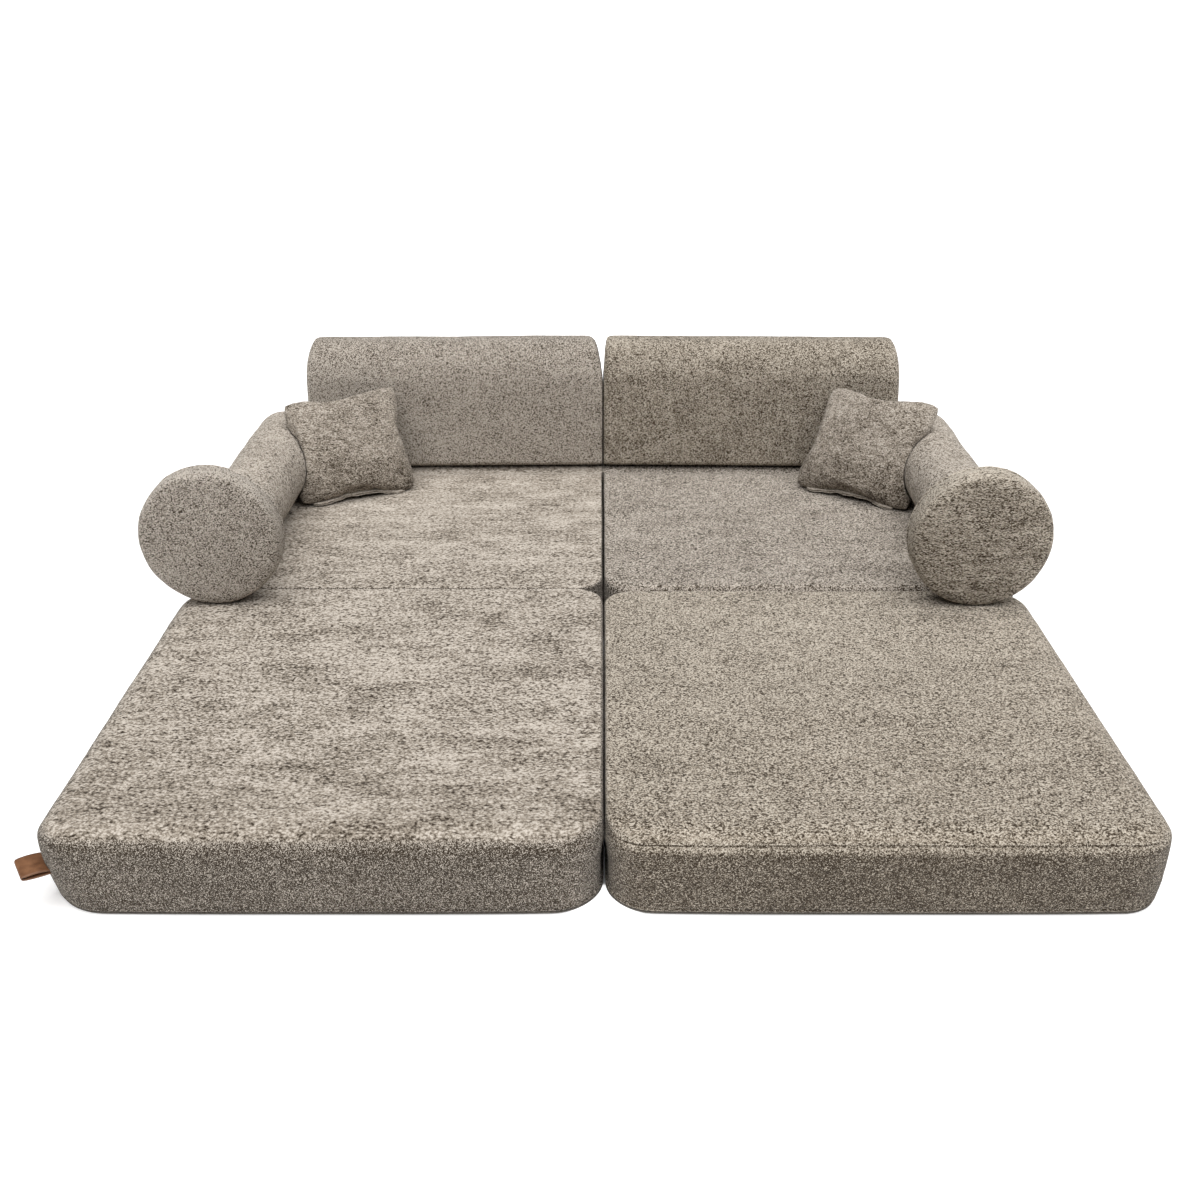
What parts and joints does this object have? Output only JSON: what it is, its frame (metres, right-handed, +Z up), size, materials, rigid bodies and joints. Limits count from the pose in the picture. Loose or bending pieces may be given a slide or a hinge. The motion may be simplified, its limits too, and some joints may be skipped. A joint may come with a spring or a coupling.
{
  "type": "modular play sofa",
  "caption": "Low modular play sofa for children: square foam mats in looped fabric with backrest blocks, disc-ended bolsters and small pillows.",
  "frame": {"origin": "on the floor under the crossing of the centre seam and the fold line, in the middle of the sofa's footprint", "axes": "+X to the right as seen from the open front edge, +Y towards the backrests, +Z up"},
  "size_m": [1.669, 1.6074, 0.4213],
  "materials": {
    "cover_fabric": "greige looped chenille with light and dark flecks, very matt",
    "base_cloth": "plain dark grey woven cloth",
    "zip_tape": "woven polyester tape with a fine coil",
    "foam_core": "cut open-cell foam",
    "pillow_filling": "soft fibre filling",
    "slider_metal": "satin die-cast metal",
    "tab_leather": "tan leather, semi-matt, with darker cut edges"
  },
  "bodies": {
    "left_rear_mat": {"left_rear_cover": "cover_fabric", "left_rear_foam": "foam_core", "left_rear_base": "base_cloth", "left_rear_zip": "zip_tape", "left_rear_hinge_tape": "base_cloth"},
    "left_rear_zip_slider": {"left_rear_slider": "slider_metal"},
    "right_rear_mat": {"right_rear_cover": "cover_fabric", "right_rear_foam": "foam_core", "right_rear_base": "base_cloth", "right_rear_zip": "zip_tape", "right_rear_hinge_tape": "base_cloth"},
    "right_rear_zip_slider": {"right_rear_slider": "slider_metal"},
    "left_front_mat": {"left_front_cover": "cover_fabric", "left_front_foam": "foam_core", "left_front_base": "base_cloth", "left_front_zip": "zip_tape", "left_front_hinge_tape": "base_cloth"},
    "left_front_zip_slider": {"left_front_slider": "slider_metal"},
    "right_front_mat": {"right_front_cover": "cover_fabric", "right_front_foam": "foam_core", "right_front_base": "base_cloth", "right_front_zip": "zip_tape", "right_front_hinge_tape": "base_cloth"},
    "right_front_zip_slider": {"right_front_slider": "slider_metal"},
    "left_backrest": {"left_back_cover": "cover_fabric", "left_back_foam": "foam_core", "left_back_base": "base_cloth", "left_back_zip": "zip_tape"},
    "left_backrest_zip_slider": {"left_back_slider": "slider_metal"},
    "left_bolster": {"left_roll_cover": "cover_fabric", "left_roll_foam": "foam_core", "left_roll_zip": "zip_tape", "left_head_cover": "cover_fabric", "left_head_foam": "foam_core", "left_head_panel": "cover_fabric"},
    "left_bolster_zip_slider": {"left_roll_slider": "slider_metal"},
    "left_pillow": {"left_pillow_front": "cover_fabric", "left_pillow_rear": "cover_fabric", "left_pillow_filling": "pillow_filling", "left_pillow_zip": "zip_tape"},
    "left_pillow_zip_slider": {"left_pillow_slider": "slider_metal"},
    "right_backrest": {"right_back_cover": "cover_fabric", "right_back_foam": "foam_core", "right_back_base": "base_cloth", "right_back_zip": "zip_tape"},
    "right_backrest_zip_slider": {"right_back_slider": "slider_metal"},
    "right_bolster": {"right_roll_cover": "cover_fabric", "right_roll_foam": "foam_core", "right_roll_zip": "zip_tape", "right_head_cover": "cover_fabric", "right_head_foam": "foam_core", "right_head_panel": "cover_fabric"},
    "right_bolster_zip_slider": {"right_roll_slider": "slider_metal"},
    "right_pillow": {"right_pillow_front": "cover_fabric", "right_pillow_rear": "cover_fabric", "right_pillow_filling": "pillow_filling", "right_pillow_zip": "zip_tape"},
    "right_pillow_zip_slider": {"right_pillow_slider": "slider_metal"},
    "leather_tab": {"leather_tab": "tab_leather"}
  },
  "joints": [
    {"name": "right_column_apart", "type": "slide", "parent": "left_rear_mat", "child": "right_rear_mat", "axis": [1, 0, 0], "range_m": [0, 0.3]},
    {"name": "left_fold", "type": "hinge", "parent": "left_rear_mat", "child": "left_front_mat", "pos_m": [0, 0, -0.0003], "axis": [1, 0, 0], "range_deg": [0, 180]},
    {"name": "right_fold", "type": "hinge", "parent": "right_rear_mat", "child": "right_front_mat", "pos_m": [0, 0, -0.0003], "axis": [1, 0, 0], "range_deg": [0, 180]},
    {"name": "left_backrest_slide", "type": "slide", "parent": "left_rear_mat", "child": "left_backrest", "axis": [0, 1, 0], "range_m": [0, 0.065]},
    {"name": "left_bolster_slide", "type": "slide", "parent": "left_rear_mat", "child": "left_bolster", "axis": [0, -1, 0], "range_m": [0, 0.6]},
    {"name": "left_pillow_lift", "type": "slide", "parent": "left_rear_mat", "child": "left_pillow", "axis": [0, 0, 1], "range_m": [0, 0.3]},
    {"name": "left_rear_zip_run", "type": "slide", "parent": "left_rear_mat", "child": "left_rear_zip_slider", "axis": [-1, 0, 0], "range_m": [0, 0.596]},
    {"name": "left_front_zip_run", "type": "slide", "parent": "left_front_mat", "child": "left_front_zip_slider", "axis": [-1, 0, 0], "range_m": [0, 0.596]},
    {"name": "left_backrest_zip_run", "type": "slide", "parent": "left_backrest", "child": "left_backrest_zip_slider", "axis": [-0.9998, -0.0175, 0], "range_m": [0, 0.534]},
    {"name": "left_bolster_zip_run", "type": "slide", "parent": "left_bolster", "child": "left_bolster_zip_slider", "axis": [0, -1, 0], "range_m": [0, 0.499]},
    {"name": "left_pillow_zip_run", "type": "slide", "parent": "left_pillow", "child": "left_pillow_zip_slider", "axis": [-0.891, -0.454, 0], "range_m": [0, 0.127]},
    {"name": "right_backrest_slide", "type": "slide", "parent": "right_rear_mat", "child": "right_backrest", "axis": [0, 1, 0], "range_m": [0, 0.065]},
    {"name": "right_bolster_slide", "type": "slide", "parent": "right_rear_mat", "child": "right_bolster", "axis": [0, -1, 0], "range_m": [0, 0.6]},
    {"name": "right_pillow_lift", "type": "slide", "parent": "right_rear_mat", "child": "right_pillow", "axis": [0, 0, 1], "range_m": [0, 0.3]},
    {"name": "right_rear_zip_run", "type": "slide", "parent": "right_rear_mat", "child": "right_rear_zip_slider", "axis": [1, 0, 0], "range_m": [0, 0.596]},
    {"name": "right_front_zip_run", "type": "slide", "parent": "right_front_mat", "child": "right_front_zip_slider", "axis": [1, 0, 0], "range_m": [0, 0.596]},
    {"name": "right_backrest_zip_run", "type": "slide", "parent": "right_backrest", "child": "right_backrest_zip_slider", "axis": [0.9998, -0.0175, 0], "range_m": [0, 0.534]},
    {"name": "right_bolster_zip_run", "type": "slide", "parent": "right_bolster", "child": "right_bolster_zip_slider", "axis": [0, -1, 0], "range_m": [0, 0.499]},
    {"name": "right_pillow_zip_run", "type": "slide", "parent": "right_pillow", "child": "right_pillow_zip_slider", "axis": [0.829, -0.5592, 0], "range_m": [0, 0.127]},
    {"name": "tab_flex", "type": "hinge", "parent": "left_front_mat", "child": "leather_tab", "pos_m": [-0.7921, -0.76973, 0.062], "axis": [-0.5299, 0.848, 0], "range_deg": [-35, 25], "stiffness_Nm_per_rad": 0.05}
  ]
}
